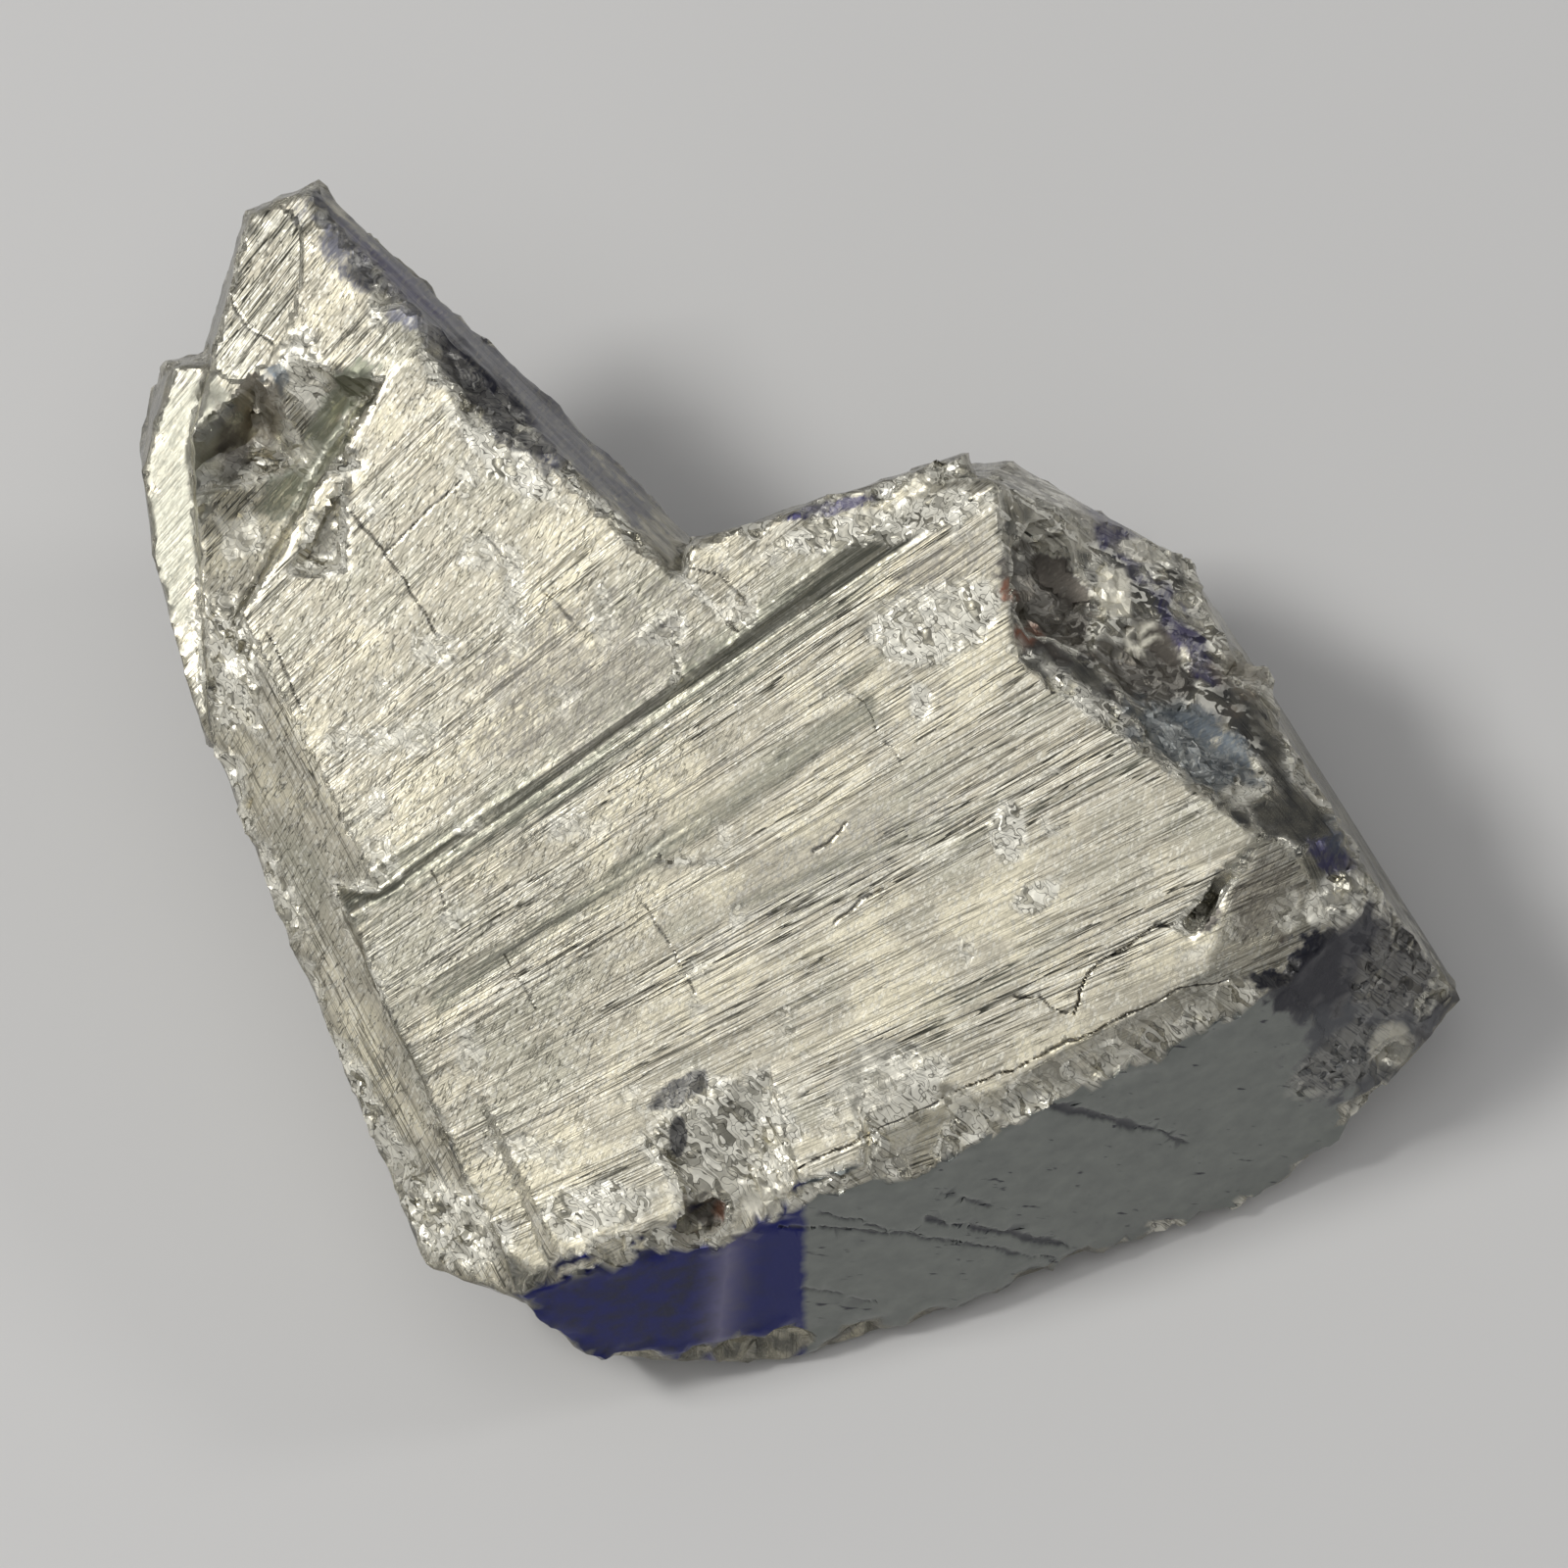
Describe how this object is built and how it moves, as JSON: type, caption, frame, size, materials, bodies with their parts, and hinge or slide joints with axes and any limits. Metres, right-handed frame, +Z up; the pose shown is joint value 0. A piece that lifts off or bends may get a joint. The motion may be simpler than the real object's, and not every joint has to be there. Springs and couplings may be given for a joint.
{
  "type": "pyrite cluster",
  "caption": "Hand-sized pyrite cluster of intergrown striated crystals with a broad grooved face, a notch and chipped rims, lying on its flat broken back.",
  "frame": {"origin": "middle of the footprint, on the surface that the cluster rests on", "axes": "+Z up, +X along the longest extent, from the pointed left crystal to the blunt right one; the great striated face leans toward -Y"},
  "size_m": [0.0692, 0.0574, 0.0306],
  "materials": {
    "pyrite": "natural pale brass-yellow to steel-grey metallic lustre, striated, with smooth mirror facets and crumbly broken edges"
  },
  "bodies": {
    "root": {"pyrite_cluster": "pyrite"}
  },
  "joints": []
}
